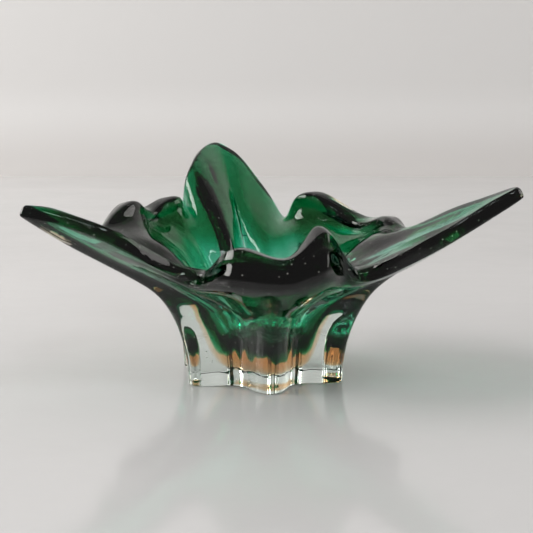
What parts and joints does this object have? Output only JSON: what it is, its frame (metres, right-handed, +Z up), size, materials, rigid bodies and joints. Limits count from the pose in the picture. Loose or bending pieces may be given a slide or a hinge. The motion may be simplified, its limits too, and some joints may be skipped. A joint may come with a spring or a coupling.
{
  "type": "art glass bowl",
  "caption": "Free-standing cased art glass bowl with a green hollow, amber and clear outer layers, long pulled arms, curled lips between them and a ribbed star foot.",
  "frame": {"origin": "middle of the foot's flat underside", "axes": "+Z up out of the foot, +Y towards the back arm, +X towards the longer right-hand arm"},
  "size_m": [0.2688, 0.2309, 0.1265],
  "materials": {
    "clear_glass": "clear crystal, fire-polished, slightly rippled by hand working",
    "amber_glass": "thin peach to amber gather, uneven in thickness",
    "green_glass": "deep emerald, nearly black where thick, fire-polished"
  },
  "bodies": {
    "root": {"clear_casing": "clear_glass", "amber_layer": "amber_glass", "green_bowl": "green_glass"}
  },
  "joints": []
}
